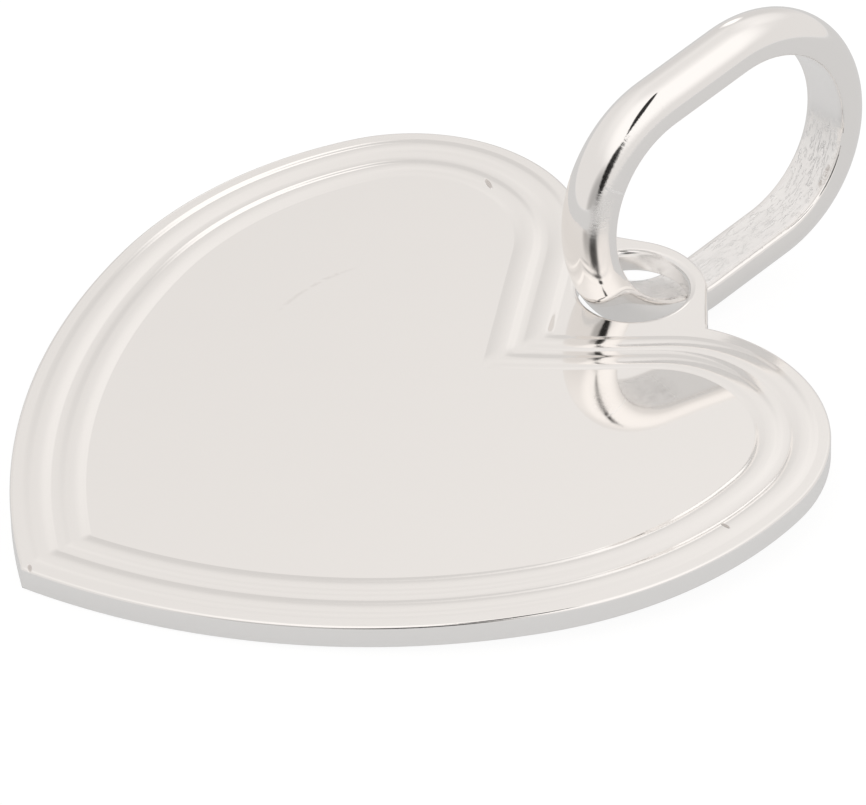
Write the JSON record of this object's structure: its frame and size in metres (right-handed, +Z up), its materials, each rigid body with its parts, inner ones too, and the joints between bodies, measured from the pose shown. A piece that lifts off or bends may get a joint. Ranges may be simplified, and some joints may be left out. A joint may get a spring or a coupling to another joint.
{
  "type": "heart pendant",
  "caption": "Flat silver heart pendant with a plain panel inside a stepped border, a soldered eye in its notch and a loose oval bail ring for a chain.",
  "frame": {"origin": "on the surface that the pendant lies on, under the middle of its bounding box", "axes": "+Z up from the surface, +Y from the tip of the heart to the ring, +X to the right with the face up"},
  "size_m": [0.017, 0.0226, 0.0067],
  "materials": {
    "polished_silver": "polished",
    "ring_silver": "polished"
  },
  "bodies": {
    "root": {"heart_plate": "polished_silver", "bail_ring": "ring_silver"}
  },
  "joints": []
}
